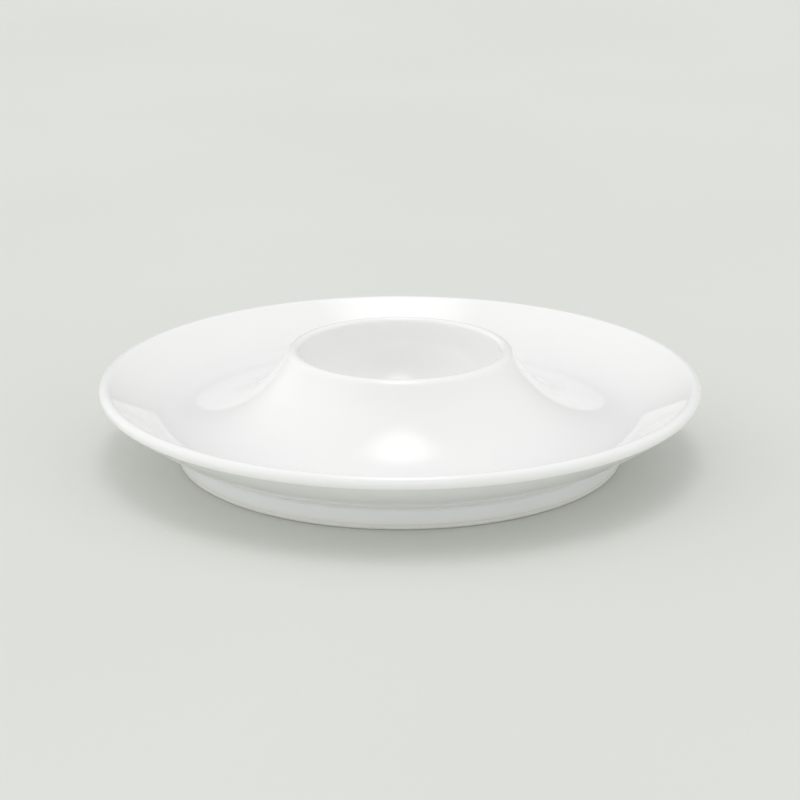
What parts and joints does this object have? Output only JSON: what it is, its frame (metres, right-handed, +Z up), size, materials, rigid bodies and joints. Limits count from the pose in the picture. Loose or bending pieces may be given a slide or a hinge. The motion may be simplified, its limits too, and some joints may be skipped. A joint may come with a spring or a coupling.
{
  "type": "egg cup",
  "caption": "Low white porcelain egg cup: a flared cup for a boiled egg stands in the middle of its own deep saucer on a bare foot ring.",
  "frame": {"origin": "centre of the foot ring, on the plane that it stands on", "axes": "+Z up along the cup's axis; X and Y are any two level directions, because the object is round"},
  "size_m": [0.13, 0.13, 0.024],
  "materials": {
    "bare_porcelain": "matt, fine-grained fired clay",
    "white_glaze": "clear high gloss over white"
  },
  "bodies": {
    "root": {"porcelain_body": "bare_porcelain", "glaze_top": "white_glaze", "glaze_underside": "white_glaze"}
  },
  "joints": []
}
